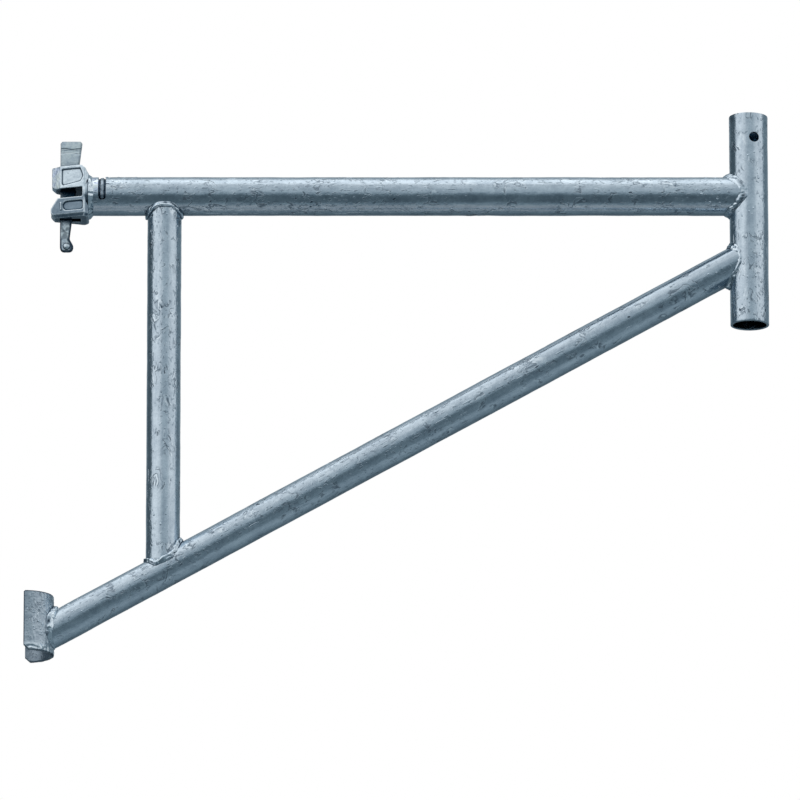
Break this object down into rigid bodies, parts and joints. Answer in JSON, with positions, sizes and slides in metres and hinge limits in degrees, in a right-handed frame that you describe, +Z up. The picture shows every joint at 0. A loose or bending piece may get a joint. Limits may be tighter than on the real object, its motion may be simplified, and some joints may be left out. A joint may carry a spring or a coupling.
{
  "type": "scaffold side bracket",
  "caption": "Triangular galvanised side bracket for a wedge-lock scaffold, with a wedge head, end post and half-pipe foot.",
  "frame": {"origin": "where the upright's axis crosses the main tube's axis, at the middle height of the rosette", "axes": "+X along the main tube towards the end post, +Z up along the upright, -Y the side seen first"},
  "size_m": [0.9241, 0.0728, 0.6948],
  "materials": {
    "tube_zinc": "hot-dip galvanised steel tube, cool blue-grey, with brighter runs and dull patches",
    "cast_zinc": "galvanised casting, satin and slightly rough",
    "wedge_zinc": "galvanised forging, dull and grainy",
    "weld_zinc": "lumpy weld metal under zinc"
  },
  "bodies": {
    "frame": {"main_tube": "tube_zinc", "post_tube": "tube_zinc", "strut_tube": "tube_zinc", "diagonal_tube": "tube_zinc", "foot_saddle": "tube_zinc", "wedge_head": "cast_zinc", "slot_weld": "weld_zinc", "weld_head": "weld_zinc", "weld_tube_post": "weld_zinc", "weld_diagonal_post": "weld_zinc", "weld_strut_tube": "weld_zinc", "weld_strut_diagonal": "weld_zinc", "weld_diagonal_foot": "weld_zinc"},
    "wedge": {"wedge": "wedge_zinc", "wedge_rivet": "wedge_zinc"}
  },
  "joints": [
    {"name": "wedge_slide", "type": "slide", "parent": "frame", "child": "wedge", "axis": [0, 0, 1], "range_m": [0, 0.0667]}
  ]
}
